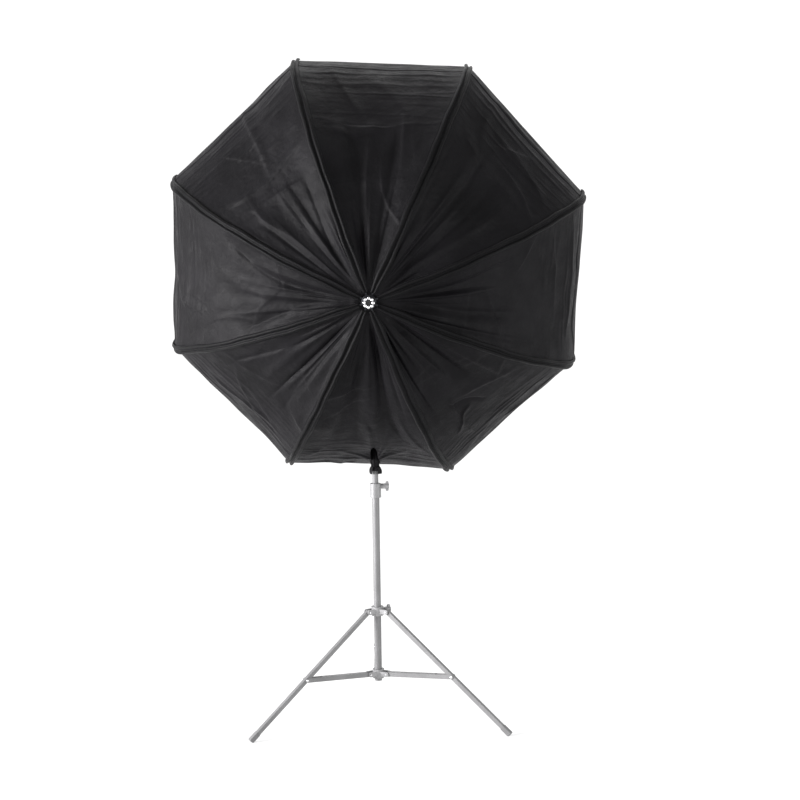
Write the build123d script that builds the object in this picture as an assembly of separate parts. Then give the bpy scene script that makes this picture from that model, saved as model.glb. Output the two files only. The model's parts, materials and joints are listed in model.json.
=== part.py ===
from build123d import *
from math import atan2, cos, degrees, hypot, radians, sin
import os

# Folding octagonal studio softbox on a tripod light stand. Millimetres, +Z up, floor at Z = 0.
# The mast stands on the Z axis. The softbox axis passes beside it, parallel to the Y-Z plane: the
# closed crown points to -Y and the lit front to +Y, raised by TILT. Softbox parts are drawn in a
# frame whose origin is the crown and whose z runs along the shaft to the front, then placed with
# SOFTBOX or SOFTBOX_ROLLED.

# ---- softbox driving dimensions
TILT = 11.0            # the front is raised by this many degrees
ROLL = 3.0             # the ribs sit this far round the shaft from the mast slot
RIB_COUNT = 8
RIB_STEP = 360.0 / RIB_COUNT
HALF_STEP = RIB_STEP / 2
RIB_ARCS = ((362.0, 30.0), (254.0, 25.0), (166.0, 43.0))   # (length, turn in degrees) from the crown
CANOPY_LAST_TURN = 38.5   # the fabric stops short of the rib ends by leaving part of the last turn
RIB_R = 3.0
RIB_PIVOT_R = 12.0
HINGE_PIN_R = 1.0
HINGE_HOLE_R = 1.06
FLAT_T = 4.0           # flattened rib root
SLOT_PLAY = 0.6
CROWN_R = 18.0
CROWN_HALF_H = 8.0
TIP_CAP_R = 4.5
TIP_CAP_L = 14.0
SHAFT_R = 4.5
SHAFT_END = 400.0
CANOPY_GAP = 5.6       # fabric stands this far outside the rib centre lines
CANOPY_T = 1.2
CANOPY_MOUTH_R = 22.0
SLOT_WIDTH = 26.0      # mast slot in the bottom panel
SLOT_FROM, SLOT_TO = 188.0, 388.0
HEM_TO = 420.0
HEM_T = 1.6
DIFFUSER_FACE = 411.0
DIFFUSER_CORNER_R = 577.0

# ---- struts and runner
STRUT_ALONG = 160.0    # distance of the rib's strut eye from the shaft
STRUT_L = 170.0
STRUT_SIDE = 5.2       # struts lie beside the ribs, not in line with them
STRUT_T = 3.0
STRUT_W = 6.0
RUNNER_R = 17.0
RUNNER_GRIP_R = 13.0
RUNNER_BORE_R = 4.56
RUNNER_BACK, RUNNER_FRONT, RUNNER_GRIP_L = 7.0, 8.0, 24.0
LATCH_OFF = 22.0       # latch button in front of the strut pins
FOLD_ANGLE = 49.0      # turn of a rib from open to folded

# ---- bracket
MAST_CROSSING = 375.0  # where the shaft passes the mast, from the crown
SHAFT_ASIDE = 10.0     # the shaft runs this far to the +X side of the mast
SHAFT_ABOVE_TILT = 34.0
TILT_Z = 1193.0
HEAD_EAR_R = 14.0
HEAD_HALF_X = 12.0
HEAD_HALF_L = 20.0
CLAMP_BOSS_L = 7.0
TILT_BOLT_R = 4.0
BASE_R = 14.0
STUD_R = 7.95
BASE_BOTTOM, BASE_TOP = 1129.0, 1175.0
EAR_GAP = 0.15         # play between the base's ear and the head's ear
EAR_OUT = 11.0         # outer face of either ear from the middle
HEAD_EAR_X = (EAR_GAP, EAR_OUT)
STUD_FLANGE_T = 3.5
SHOE_W, SHOE_L = 25.0, 24.0

# ---- clamp knobs
SCREW_R, SCREW_HOLE_R = 3.0, 3.05
KNOB_R, KNOB_T = 7.5, 13.0
KNOB_CLEAR = 0.6       # knob head off its boss
COLLAR_KNOB_AZ = 34.0
SECTION_KNOB_AZ = 2.0
SECTION_KNOB_Z = 643.0
SOCKET_KNOB_Z = 1147.0

# ---- stand
TUBE_R, TUBE_BORE_R = 10.0, 8.8
UPPER_R, UPPER_BORE_R = 8.0, 7.0
TUBE_BOTTOM, TUBE_TOP = 106.0, 636.0
UPPER_BOTTOM, UPPER_TOP = 440.0, 1125.0
SECTION_BOTTOM, SECTION_TOP = 612.0, 651.0
HUB_Z, COLLAR_Z = 124.0, 298.0
LEG_PIVOT_R = 30.0
FOOT_R, FOOT_END_Z = 392.0, 5.8
BRACE_AT = 0.542       # share of the leg from its pivot to the brace rivet
LEG_W = 11.0
LEG_WALL = 1.2
PIN_R = 2.5
RIVET_R = 1.8
EAR_T = 3.0
EAR_PLAY = 2.3         # between the leg and each ear, room for the brace plates
BRACE_PLATE_T = 1.5
FOOT_CAP_WALL = 1.6
LEG_AZIMUTHS = (94.0, 214.0, 334.0)

# ---- derived places
WIDE = 2000.0
COS_HALF = cos(radians(HALF_STEP))
SHAFT_DIR = Vector(0, cos(radians(TILT)), sin(radians(TILT)))
SHAFT_UP = Vector(0, -sin(radians(TILT)), cos(radians(TILT)))
TILT_PIVOT = Vector(0, 0, TILT_Z)
CROWN = (TILT_PIVOT + SHAFT_UP * SHAFT_ABOVE_TILT - SHAFT_DIR * MAST_CROSSING
         + Vector(SHAFT_ASIDE, 0, 0))
SOFTBOX = Plane(origin=CROWN, x_dir=(1, 0, 0), z_dir=SHAFT_DIR).location
SOFTBOX_ROLLED = SOFTBOX * Rot(0, 0, ROLL)
HEAD = Plane(origin=TILT_PIVOT, x_dir=(1, 0, 0), z_dir=SHAFT_UP).location
RIB_ANGLES = [HALF_STEP + RIB_STEP * k for k in range(RIB_COUNT)]


def rib_points(gap=0.0, last_turn=RIB_ARCS[-1][1]):
    """Start, middle and end of each rib arc in the (radius, depth) plane, moved out by gap."""
    radius, depth, turn = RIB_PIVOT_R, 0.0, 0.0
    rows = []
    for length, bend in RIB_ARCS:
        arc_r = length / radians(bend)
        used = bend if (length, bend) != RIB_ARCS[-1] else last_turn
        centre = (radius - arc_r * sin(radians(turn)), depth + arc_r * cos(radians(turn)))
        row = []
        for share in (0.0, 0.5, 1.0):
            a = radians(turn + used * share)
            reach = arc_r + gap
            row.append((centre[0] + reach * sin(a), centre[1] - reach * cos(a)))
        rows.append(row)
        a = radians(turn + bend)
        radius, depth, turn = centre[0] + arc_r * sin(a), centre[1] - arc_r * cos(a), turn + bend
    return rows


def rotate_in_plane(point, pivot, angle):
    """A (radius, depth) point turned about pivot, positive from outward towards the front."""
    c, s = cos(radians(angle)), sin(radians(angle))
    x, y = point[0] - pivot[0], point[1] - pivot[1]
    return (pivot[0] + x * c - y * s, pivot[1] + x * s + y * c)


# Fold of the ribs: the strut eye on the rib, and the runner's place open and folded.
FIRST_ARC_R = RIB_ARCS[0][0] / radians(RIB_ARCS[0][1])
STRUT_TURN = degrees(atan2(STRUT_ALONG - RIB_PIVOT_R, FIRST_ARC_R))
STRUT_EYE = (RIB_PIVOT_R + FIRST_ARC_R * sin(radians(STRUT_TURN)),
             FIRST_ARC_R * (1 - cos(radians(STRUT_TURN))))
STRUT_EYE_FOLDED = rotate_in_plane(STRUT_EYE, (RIB_PIVOT_R, 0.0), FOLD_ANGLE)


def runner_place(eye):
    return eye[1] + (STRUT_L ** 2 - (eye[0] - RIB_PIVOT_R) ** 2) ** 0.5


RUNNER_OPEN = runner_place(STRUT_EYE)
RUNNER_FOLDED = runner_place(STRUT_EYE_FOLDED)
LATCH_DEPTH = RUNNER_OPEN + LATCH_OFF

# Fold of the stand: legs and braces in their own radial plane as (radius, height).
LEG_TOP = (LEG_PIVOT_R, COLLAR_Z)
LEG_END = (FOOT_R, FOOT_END_Z)
LEG_L = hypot(LEG_END[0] - LEG_TOP[0], LEG_END[1] - LEG_TOP[1])
BRACE_IN = (LEG_PIVOT_R, HUB_Z)
BRACE_OUT = tuple(LEG_TOP[i] + BRACE_AT * (LEG_END[i] - LEG_TOP[i]) for i in (0, 1))


# ---- small helpers
def rod(start, end, radius):
    """Cylinder between two points."""
    start, end = Vector(*start), Vector(*end)
    way = end - start
    return Plane(origin=start, z_dir=way).location * extrude(Circle(radius), way.length)


def tube(start, end, radius, bore):
    return rod(start, end, radius) - rod(start, end, bore)


def link(p, q, width, thick, side=0.0):
    """Flat link with round ends between two (radius, height) points, side millimetres off its plane."""
    length = hypot(q[0] - p[0], q[1] - p[1])
    middle = Vector((p[0] + q[0]) / 2, side, (p[1] + q[1]) / 2)
    along = (q[0] - p[0], 0, q[1] - p[1])
    plane = Plane(origin=middle, x_dir=along, z_dir=(0, 1, 0))
    return plane.location * extrude(SlotCenterToCenter(length, width), thick / 2, both=True)


def cross_hole(p, radius, half_length, side=0.0):
    return rod((p[0], side - half_length, p[1]), (p[0], side + half_length, p[1]), radius)


def turned(shape, angle):
    return Rot(0, 0, angle) * shape


def around(shape, angles):
    return [turned(shape, a) for a in angles]


def save(name, *shapes, place=None):
    solids = [s for shape in shapes for s in shape.solids()]
    if place is not None:
        solids = [place * s for s in solids]
    shape = solids[0] if len(solids) == 1 else Compound(children=solids)
    shape.label = name
    export_step(shape, f"parts/{name}.step")


# ---- stand
def pivot_ears(height):
    """Two ears that hold a leg or brace, pointing to +X."""
    side = LEG_W / 2 + EAR_PLAY + EAR_T / 2
    ears = [link((12.0, height), (LEG_PIVOT_R, height), 13.0, EAR_T, s) for s in (side, -side)]
    return [ear - cross_hole((LEG_PIVOT_R, height), PIN_R, 20) for ear in ears]


def pivot_pins(height):
    pin = cross_hole((LEG_PIVOT_R, height), PIN_R, LEG_W / 2 + EAR_PLAY + EAR_T + 1.5)
    return around(pin, LEG_AZIMUTHS)


def wing_knob(boss_end, screw_to, wing=26.0):
    """Clamp knob on +X: its head stands just off boss_end and its screw ends at screw_to."""
    reach = boss_end + KNOB_CLEAR
    head = rod((reach, 0, 0), (reach + KNOB_T, 0, 0), KNOB_R)
    head = fillet(head.faces().sort_by(Axis.X)[-1].edges(), 2.0)
    blade = Pos(reach + 8, 0, 0) * Box(8, 6, wing)
    blade = fillet(blade.edges().filter_by(Axis.Y), 3.0)
    return head + blade + rod((screw_to, 0, 0), (reach, 0, 0), SCREW_R)


def leg_collar():
    body = tube((0, 0, COLLAR_Z - 12), (0, 0, COLLAR_Z + 12), 17.0, TUBE_R + 0.06)
    for ear in pivot_ears(COLLAR_Z):
        for piece in around(ear, LEG_AZIMUTHS):
            body += piece
    boss = rod((12, 0, 0), (27, 0, 0), 7.5)
    screw = rod((0, 0, 0), (40, 0, 0), SCREW_HOLE_R)
    body += Pos(0, 0, COLLAR_Z) * turned(boss, COLLAR_KNOB_AZ)
    body -= Pos(0, 0, COLLAR_Z) * turned(screw, COLLAR_KNOB_AZ)
    return body - rod((0, 0, COLLAR_Z - 20), (0, 0, COLLAR_Z + 20), TUBE_R + 0.06)


def lower_hub():
    body = rod((0, 0, HUB_Z - 13), (0, 0, HUB_Z + 11), 16.0)
    for ear in pivot_ears(HUB_Z):
        for piece in around(ear, LEG_AZIMUTHS):
            body += piece
    return body - rod((0, 0, HUB_Z - 20), (0, 0, HUB_Z + 20), TUBE_R)


def section_collar():
    body = rod((0, 0, SECTION_BOTTOM), (0, 0, SECTION_TOP), 15.0)
    body = fillet(body.edges(), 1.5)
    body += turned(rod((10, 0, SECTION_KNOB_Z), (23, 0, SECTION_KNOB_Z), 7.0), SECTION_KNOB_AZ)
    body -= rod((0, 0, SECTION_BOTTOM - 1), (0, 0, SECTION_TOP - 2), TUBE_R)
    body -= rod((0, 0, SECTION_BOTTOM), (0, 0, SECTION_TOP + 1), UPPER_R + 0.5)
    return body - turned(rod((0, 0, SECTION_KNOB_Z), (40, 0, SECTION_KNOB_Z), SCREW_HOLE_R), SECTION_KNOB_AZ)


def section_bush():
    bush = tube((0, 0, TUBE_TOP), (0, 0, SECTION_TOP - 2), TUBE_R, UPPER_R + 0.05)
    return bush - turned(rod((0, 0, SECTION_KNOB_Z), (40, 0, SECTION_KNOB_Z), SCREW_HOLE_R), SECTION_KNOB_AZ)


def leg():
    along = Vector(LEG_END[0] - LEG_TOP[0], 0, LEG_END[1] - LEG_TOP[1]).normalized()
    middle = Vector((LEG_TOP[0] + LEG_END[0]) / 2, 0, (LEG_TOP[1] + LEG_END[1]) / 2)
    plane = Plane(origin=middle, x_dir=along, z_dir=(0, 1, 0)).location
    outer = link(LEG_TOP, LEG_END, LEG_W, LEG_W) - plane * Pos(LEG_L, 0, 0) * Box(LEG_L, 40, 40)
    bore = plane * Box(2 * LEG_L, LEG_W - 2 * LEG_WALL, LEG_W - 2 * LEG_WALL)
    head = cross_hole(LEG_TOP, LEG_W / 2, LEG_W / 2)
    whole = (outer - bore + head) - cross_hole(LEG_TOP, PIN_R + 0.05, 20)
    return whole - cross_hole(BRACE_OUT, RIVET_R, 20)


def foot_cap():
    """Rubber cap over the end of a leg, with a flat where it stands on the floor."""
    along = Vector(LEG_END[0] - LEG_TOP[0], 0, LEG_END[1] - LEG_TOP[1]).normalized()
    plane = Plane(origin=(LEG_END[0], 0, LEG_END[1]), x_dir=along, z_dir=(0, 1, 0)).location
    cap = Pos(-10, 0, 0) * Box(28, LEG_W + 2 * FOOT_CAP_WALL, LEG_W + 2 * FOOT_CAP_WALL)
    cap = fillet(cap.edges().filter_by(Axis.X), 2.5)
    cap = fillet(cap.faces().sort_by(Axis.X)[-1].edges(), 1.5)
    cap -= Pos(-LEG_L / 2, 0, 0) * Box(LEG_L, LEG_W, LEG_W)
    return (plane * cap) - Pos(FOOT_R, 0, -50) * Box(100, 100, 100)


def brace():
    """Two side plates astride the leg, joined by a top web that stops short of the leg."""
    side = LEG_W / 2 + 0.4 + BRACE_PLATE_T / 2
    plates = [link(BRACE_IN, BRACE_OUT, 12.0, BRACE_PLATE_T, s) for s in (side, -side)]
    length = hypot(BRACE_OUT[0] - BRACE_IN[0], BRACE_OUT[1] - BRACE_IN[1])
    along = (BRACE_OUT[0] - BRACE_IN[0], 0, BRACE_OUT[1] - BRACE_IN[1])
    plane = Plane(origin=(BRACE_IN[0], 0, BRACE_IN[1]), x_dir=along, z_dir=(0, 1, 0)).location
    web = plane * Pos(8 + length * 0.35, -5.25, 0) * Box(length * 0.7, BRACE_PLATE_T, 2 * side)
    whole = plates[0] + plates[1] + web
    return whole - cross_hole(BRACE_IN, PIN_R + 0.05, 20)


def leg_rivet():
    """Rivet heads on both sides of the leg at the brace: flush, clear of the brace plates."""
    return cross_hole(BRACE_OUT, RIVET_R, LEG_W / 2 + 0.2)


# ---- bracket
def spigot_stud():
    low = rod((0, 0, UPPER_TOP - 30), (0, 0, UPPER_TOP), UPPER_BORE_R)
    flange = rod((0, 0, UPPER_TOP), (0, 0, UPPER_TOP + STUD_FLANGE_T), 9.5)
    top = rod((0, 0, UPPER_TOP + STUD_FLANGE_T), (0, 0, UPPER_TOP + 40), STUD_R)
    groove = tube((0, 0, UPPER_TOP + 18), (0, 0, UPPER_TOP + 26), 9.0, STUD_R - 1.2)
    return low + flange + (top - groove)


def bracket_base():
    body = rod((0, 0, BASE_BOTTOM), (0, 0, BASE_TOP), BASE_R)
    ear_mid = -(EAR_GAP + EAR_OUT) / 2
    ear_t = EAR_OUT - EAR_GAP
    ear = rod((ear_mid - ear_t / 2, 0, TILT_Z), (ear_mid + ear_t / 2, 0, TILT_Z), HEAD_EAR_R)
    neck = Pos(ear_mid, 0, (BASE_TOP - 5 + TILT_Z) / 2) * Box(ear_t, 22, TILT_Z - BASE_TOP + 5)
    body += ear + neck
    body += rod((0, 0, SOCKET_KNOB_Z), (0, -22, SOCKET_KNOB_Z), 6.5)
    body -= rod((0, 0, BASE_BOTTOM - 1), (0, 0, UPPER_TOP + 41), STUD_R + 0.05)
    body -= rod((0, 0, SOCKET_KNOB_Z), (0, -40, SOCKET_KNOB_Z), SCREW_HOLE_R)
    return body - rod((-30, 0, TILT_Z), (0, 0, TILT_Z), TILT_BOLT_R)


def bracket_head():
    """Tilting half: an ear beside the base's ear, and a block to its side that the shaft runs through."""
    ear = rod((HEAD_EAR_X[0], 0, 0), (HEAD_EAR_X[1], 0, 0), HEAD_EAR_R)
    ear += Pos(sum(HEAD_EAR_X) / 2, 0, 11) * Box(HEAD_EAR_X[1] - HEAD_EAR_X[0], 24, 22)
    block = Pos(SHAFT_ASIDE, 0, SHAFT_ABOVE_TILT) * Box(2 * HEAD_HALF_X, 2 * HEAD_HALF_L, 26)
    block = fillet(block.edges().filter_by(Axis.Z), 4.0)
    shelf_l = SHAFT_ASIDE + HEAD_HALF_X - EAR_GAP
    shelf = Pos(EAR_GAP + shelf_l / 2, 0, SHAFT_ABOVE_TILT - 16) * Box(shelf_l, 24, 8)
    boss_end = SHAFT_ASIDE - HEAD_HALF_X - CLAMP_BOSS_L
    boss = rod((SHAFT_ASIDE, 0, SHAFT_ABOVE_TILT), (boss_end, 0, SHAFT_ABOVE_TILT), 6.5)
    whole = ear + block + shelf + boss
    whole -= rod((SHAFT_ASIDE, -60, SHAFT_ABOVE_TILT), (SHAFT_ASIDE, 60, SHAFT_ABOVE_TILT), SHAFT_R + 0.06)
    whole -= rod((-40, 0, SHAFT_ABOVE_TILT), (SHAFT_ASIDE, 0, SHAFT_ABOVE_TILT), SCREW_HOLE_R)
    return whole - rod((-1, 0, 0), (30, 0, 0), TILT_BOLT_R + 0.05)


def tilt_bolt():
    head = rod((-16, 0, 0), (-11, 0, 0), 7.0)
    return head + rod((-11, 0, 0), (24, 0, 0), TILT_BOLT_R)


def tilt_handle():
    hub = rod((12.5, 0, 0), (26, 0, 0), 9.0) - rod((12, 0, 0), (24.2, 0, 0), TILT_BOLT_R + 0.05)
    arm = Pos(21, 0, 0) * Rot(60, 0, 0) * Pos(0, -30, 0) * Box(8, 52, 9)
    return hub + (arm - rod((10, 0, 0), (30, 0, 0), 8.5))


def flash_shoe():
    """Accessory shoe: a plate and two lipped rails open front and back."""
    top = SHAFT_ABOVE_TILT + 13
    plate = Pos(0, 0, top + 1.5) * Box(SHOE_W, SHOE_L, 3)
    rails = [Pos(s * 11, 0, top + 4) * Box(3, SHOE_L, 4) for s in (1, -1)]
    lips = [Pos(s * 9.5, 0, top + 5.4) * Box(6, SHOE_L, 1.2) for s in (1, -1)]
    whole = plate
    for piece in rails + lips:
        whole += piece
    return whole


# ---- softbox frame
def shaft():
    return tube((0, 0, -4), (0, 0, SHAFT_END), SHAFT_R, SHAFT_R - 1.0)


def shaft_end_cap():
    ball = rod((0, 0, SHAFT_END), (0, 0, SHAFT_END + 7), 6.5)
    ball = fillet(ball.edges(), 2.0)
    return ball + rod((0, 0, SHAFT_END - 12), (0, 0, SHAFT_END + 1), SHAFT_R - 1.0)


def crown_hub():
    hub = rod((0, 0, -CROWN_HALF_H), (0, 0, CROWN_HALF_H), CROWN_R)
    hub = fillet(hub.edges(), 1.5)
    slot = Pos(RIB_PIVOT_R - 3.6 + 10, 0, (CROWN_HALF_H - 3.6) / 2 + 2)
    slot = slot * Box(20, FLAT_T + SLOT_PLAY, CROWN_HALF_H + 3.6 + 4)
    pin = cross_hole((RIB_PIVOT_R, 0.0), HINGE_PIN_R, 3.6)
    for a in RIB_ANGLES:
        hub -= turned(slot, a)
        hub -= turned(pin, a)
    return hub - rod((0, 0, -4), (0, 0, 20), SHAFT_R)


def crown_cap():
    """Polished dome behind the crown, with a recess for its screw."""
    dome = rod((0, 0, -CROWN_HALF_H - 7), (0, 0, -CROWN_HALF_H), 16.0)
    dome = fillet(dome.faces().sort_by(Axis.Z)[0].edges(), 5.5)
    return dome - rod((0, 0, -30), (0, 0, -CROWN_HALF_H - 2), 6.0) - rod((0, 0, -30), (0, 0, 0), 2.5)


def crown_screw():
    head = rod((0, 0, -CROWN_HALF_H - 5.5), (0, 0, -CROWN_HALF_H - 2), 5.5)
    head -= Pos(0, 0, -CROWN_HALF_H - 5.5) * extrude(RegularPolygon(2.4, 6), 2.0)
    return head + rod((0, 0, -CROWN_HALF_H - 2), (0, 0, -CROWN_HALF_H), 2.5)


def rib():
    """Round spring-steel rib on a flattened root, with its tip cap as a second solid."""
    arcs = [ThreePointArc(*row) for row in rib_points()]
    path = Wire([Plane.XZ * arc for arc in arcs])
    rod_part = sweep(Plane(origin=path @ 0, z_dir=path % 0) * Circle(RIB_R), path)
    rod_part -= Pos(RIB_PIVOT_R, 0, 0) * Box(2 * 14.0, 20, 20)
    root = link((RIB_PIVOT_R, 0.0), (RIB_PIVOT_R + 16, 0.15), 2 * RIB_R, FLAT_T)
    root -= cross_hole((RIB_PIVOT_R, 0.0), HINGE_HOLE_R, 10)
    stop = cross_hole(STRUT_EYE, 3.2, 0.8, RIB_R - 0.3)
    end, way = path @ 1, path % 1
    cap = Plane(origin=end, z_dir=way).location * extrude(Circle(TIP_CAP_R), TIP_CAP_L)
    cap = fillet(cap.edges().sort_by(lambda e: (e.center() - end).dot(way))[-1], 2.5)
    return rod_part + root + stop, cap


def strut():
    pivot = (RIB_PIVOT_R, RUNNER_OPEN)
    bar = link(pivot, STRUT_EYE, STRUT_W, STRUT_T, STRUT_SIDE)
    bar -= cross_hole(pivot, HINGE_HOLE_R, 10, STRUT_SIDE)
    return bar - cross_hole(STRUT_EYE, 1.5, 10, STRUT_SIDE)


def strut_pins():
    pin = cross_hole((RIB_PIVOT_R, RUNNER_OPEN), HINGE_PIN_R, 3.2, STRUT_SIDE)
    return around(pin, RIB_ANGLES)


def runner():
    low, high = RUNNER_OPEN - RUNNER_BACK, RUNNER_OPEN + RUNNER_FRONT
    body = rod((0, 0, low), (0, 0, high), RUNNER_R)
    body = fillet(body.edges(), 1.5) + rod((0, 0, high), (0, 0, high + RUNNER_GRIP_L), RUNNER_GRIP_R)
    slot = Pos(RIB_PIVOT_R - 3.5 + 10, STRUT_SIDE, RUNNER_OPEN + 3.5 - 10)
    slot = slot * Box(20, STRUT_T + 0.4, 20)
    pin = cross_hole((RIB_PIVOT_R, RUNNER_OPEN), HINGE_PIN_R, 3.2, STRUT_SIDE)
    for a in RIB_ANGLES:
        body -= turned(slot, a)
        body -= turned(pin, a)
    body -= rod((0, 0, low - 1), (0, 0, high + 30), RUNNER_BORE_R)
    return body - rod((6.5, 0, LATCH_DEPTH), (20, 0, LATCH_DEPTH), SCREW_HOLE_R)


def runner_latch():
    return rod((9.0, 0, LATCH_DEPTH), (15.5, 0, LATCH_DEPTH), SCREW_R)


# ---- fabric
def gore_edge(gap):
    """Arcs down the middle of one flat-sided panel, gap millimetres outside the ribs."""
    rows = rib_points(gap, CANOPY_LAST_TURN)
    return [[(r * COS_HALF, z) for r, z in row] for row in rows]


def canopy():
    """Eight flat-sided panels meeting at the ribs, open at the crown and the front, slotted below."""
    inner, outer = gore_edge(CANOPY_GAP), gore_edge(CANOPY_GAP + CANOPY_T)
    arcs = [ThreePointArc(*row) for row in inner] + [ThreePointArc(*row) for row in outer]
    ends = [Line(inner[0][0], outer[0][0]), Line(inner[-1][2], outer[-1][2])]
    strip = extrude(Plane.XZ * make_face(arcs + ends), 300, both=True)
    half = WIDE * sin(radians(HALF_STEP)) / COS_HALF
    wedge = extrude(make_face(Polyline((0, 0), (WIDE, -half), (WIDE, half), close=True)), 500, both=True)
    gore = strip & wedge
    gore -= rod((0, 0, -20), (0, 0, 20), CANOPY_MOUTH_R)
    whole = None
    for k in range(RIB_COUNT):
        piece = turned(gore, RIB_STEP * k)
        whole = piece if whole is None else whole + piece
    slot_mid, slot_l = (SLOT_FROM + SLOT_TO) / 2, SLOT_TO - SLOT_FROM
    slot = Plane(origin=(-SHAFT_ASIDE, 300, slot_mid), x_dir=(0, 0, 1), z_dir=(0, 1, 0)).location
    slot = slot * extrude(SlotOverall(slot_l, SLOT_WIDTH), 400)
    return whole - turned(slot, -ROLL)


def octagon_ring(low, high, corner_r, thick):
    outer = RegularPolygon(corner_r, RIB_COUNT, rotation=HALF_STEP)
    inner = RegularPolygon(corner_r - thick / COS_HALF, RIB_COUNT, rotation=HALF_STEP)
    return Pos(0, 0, low) * extrude(outer - inner, high - low)


def hem_band():
    radius, depth = rib_points(CANOPY_GAP, CANOPY_LAST_TURN)[-1][2]
    return octagon_ring(depth + 0.3, HEM_TO, radius + HEM_T / COS_HALF, HEM_T)


def diffuser():
    face = RegularPolygon(DIFFUSER_CORNER_R, RIB_COUNT, rotation=HALF_STEP)
    return Pos(0, 0, DIFFUSER_FACE) * extrude(face, 1.0)


# ---- write every node
os.makedirs("parts", exist_ok=True)
save("main_tube", tube((0, 0, TUBE_BOTTOM), (0, 0, TUBE_TOP), TUBE_R, TUBE_BORE_R))
save("tube_end_plug", rod((0, 0, TUBE_BOTTOM - 3), (0, 0, TUBE_BOTTOM), TUBE_R)
     + rod((0, 0, TUBE_BOTTOM - 1), (0, 0, TUBE_BOTTOM + 12), TUBE_BORE_R))
save("lower_hub", lower_hub())
save("hub_pivot_pins", *pivot_pins(HUB_Z))
save("leg_collar", leg_collar())
save("collar_pivot_pins", *pivot_pins(COLLAR_Z))
save("section_collar", section_collar())
save("section_bush", section_bush())
save("upper_tube", tube((0, 0, UPPER_BOTTOM), (0, 0, UPPER_TOP), UPPER_R, UPPER_BORE_R))
save("upper_tube_guide", tube((0, 0, UPPER_BOTTOM - 14), (0, 0, UPPER_BOTTOM), TUBE_BORE_R - 0.05, 5.0))
save("spigot_stud", spigot_stud())
for number, azimuth in enumerate(LEG_AZIMUTHS, 1):
    save(f"leg_{number}", turned(leg(), azimuth))
    save(f"foot_cap_{number}", turned(foot_cap(), azimuth))
    save(f"brace_{number}", turned(brace(), azimuth))
    save(f"leg_rivet_{number}", turned(leg_rivet(), azimuth))
save("leg_collar_knob", Pos(0, 0, COLLAR_Z) * turned(wing_knob(27.0, 10.4), COLLAR_KNOB_AZ))
save("section_knob", Pos(0, 0, SECTION_KNOB_Z) * turned(wing_knob(23.0, 8.4), SECTION_KNOB_AZ))
save("socket_knob", Pos(0, 0, SOCKET_KNOB_Z) * turned(wing_knob(22.0, 8.4), -90))

save("bracket_base", bracket_base())
save("tilt_bolt", tilt_bolt(), place=HEAD)
save("bracket_head", bracket_head(), place=HEAD)
save("tilt_handle", tilt_handle(), place=HEAD)
save("flash_shoe", Pos(SHAFT_ASIDE, 0, 0) * flash_shoe(), place=HEAD)
clamp = turned(wing_knob(HEAD_HALF_X + CLAMP_BOSS_L, 4.9, wing=22.0), 180)
save("shaft_clamp_screw", Pos(SHAFT_ASIDE, 0, SHAFT_ABOVE_TILT) * clamp, place=HEAD)

save("shaft", shaft(), place=SOFTBOX)
save("shaft_end_cap", shaft_end_cap(), place=SOFTBOX)
save("crown_hub", crown_hub(), place=SOFTBOX_ROLLED)
save("crown_pins", *around(cross_hole((RIB_PIVOT_R, 0.0), HINGE_PIN_R, 3.6), RIB_ANGLES),
     place=SOFTBOX_ROLLED)
save("crown_cap", crown_cap(), place=SOFTBOX)
save("crown_screw", crown_screw(), place=SOFTBOX)
save("runner", runner(), place=SOFTBOX_ROLLED)
save("runner_pins", *strut_pins(), place=SOFTBOX_ROLLED)
save("runner_latch", runner_latch(), place=SOFTBOX_ROLLED)
for number, angle in enumerate(RIB_ANGLES, 1):
    save(f"rib_{number}", *[turned(piece, angle) for piece in rib()], place=SOFTBOX_ROLLED)
    save(f"strut_{number}", turned(strut(), angle), place=SOFTBOX_ROLLED)
save("canopy", canopy(), place=SOFTBOX_ROLLED)
save("hem_band", hem_band(), place=SOFTBOX_ROLLED)
save("diffuser", diffuser(), place=SOFTBOX_ROLLED)
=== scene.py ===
"""Looks of a folding octagonal softbox on a light stand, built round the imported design.

Metres, in the row frame. The crown points to -Y and the shaft runs forward from it. A place on the shell is
given by gore, s (0 at the crown, 1 at the rim) and w (-1 and 1 on the two ribs of the gore).
"""
import json
import math

import bmesh
import bpy
import numpy as np
from mathutils import Matrix, Vector


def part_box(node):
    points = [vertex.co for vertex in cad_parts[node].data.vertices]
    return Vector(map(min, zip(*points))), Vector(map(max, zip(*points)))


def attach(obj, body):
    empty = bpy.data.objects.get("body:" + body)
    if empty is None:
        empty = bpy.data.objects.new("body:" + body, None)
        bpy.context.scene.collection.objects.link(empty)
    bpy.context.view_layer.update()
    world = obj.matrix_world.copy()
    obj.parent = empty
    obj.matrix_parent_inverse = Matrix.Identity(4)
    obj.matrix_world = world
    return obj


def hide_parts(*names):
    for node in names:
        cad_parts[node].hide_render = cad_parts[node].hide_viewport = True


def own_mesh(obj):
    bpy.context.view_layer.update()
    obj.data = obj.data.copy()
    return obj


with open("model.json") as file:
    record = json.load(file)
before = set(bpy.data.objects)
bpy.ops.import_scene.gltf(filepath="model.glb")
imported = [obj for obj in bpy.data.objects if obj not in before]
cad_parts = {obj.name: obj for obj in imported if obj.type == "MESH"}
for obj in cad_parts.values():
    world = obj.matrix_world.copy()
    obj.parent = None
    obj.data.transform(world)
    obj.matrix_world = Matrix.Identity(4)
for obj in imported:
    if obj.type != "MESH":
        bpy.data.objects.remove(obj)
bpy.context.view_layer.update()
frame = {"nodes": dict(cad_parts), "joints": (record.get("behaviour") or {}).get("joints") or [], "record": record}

# ---- measures that the looks share with the design, in metres and radians
RIB_COUNT = 8
HALF_STEP = math.pi / RIB_COUNT
RIB_ARCS = ((0.362, 30.0), (0.254, 25.0), (0.166, 43.0))   # length and turn in degrees, from the crown
SHELL_LAST_TURN = 38.5      # the shell stops short of the rib ends
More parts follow.
